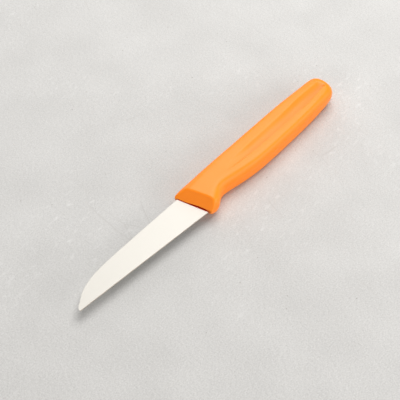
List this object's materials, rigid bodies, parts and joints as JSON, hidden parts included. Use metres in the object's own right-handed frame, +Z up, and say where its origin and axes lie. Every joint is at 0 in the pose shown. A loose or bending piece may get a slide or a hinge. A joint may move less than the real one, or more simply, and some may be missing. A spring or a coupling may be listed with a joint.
{
  "type": "paring knife",
  "caption": "Small kitchen knife with a satin sheepsfoot blade and a moulded handle with a shallow thumb flute on each side, for peeling, trimming and cutting food by hand.",
  "frame": {"origin": "Centre of the knife's box in X and Y, on the surface that the knife lies on", "axes": "+X runs from the blade's tip to the butt of the handle, +Y from the cutting edge to the spine, +Z up through the thickness of the knife, which lies on its side"},
  "size_m": [0.1844, 0.0204, 0.0124],
  "materials": {
    "steel": "satin, finely ground along the thickness from spine to edge",
    "plastic": "moulded, smooth with a soft sheen, orange"
  },
  "bodies": {
    "root": {"blade": "steel", "handle": "plastic"}
  },
  "joints": []
}
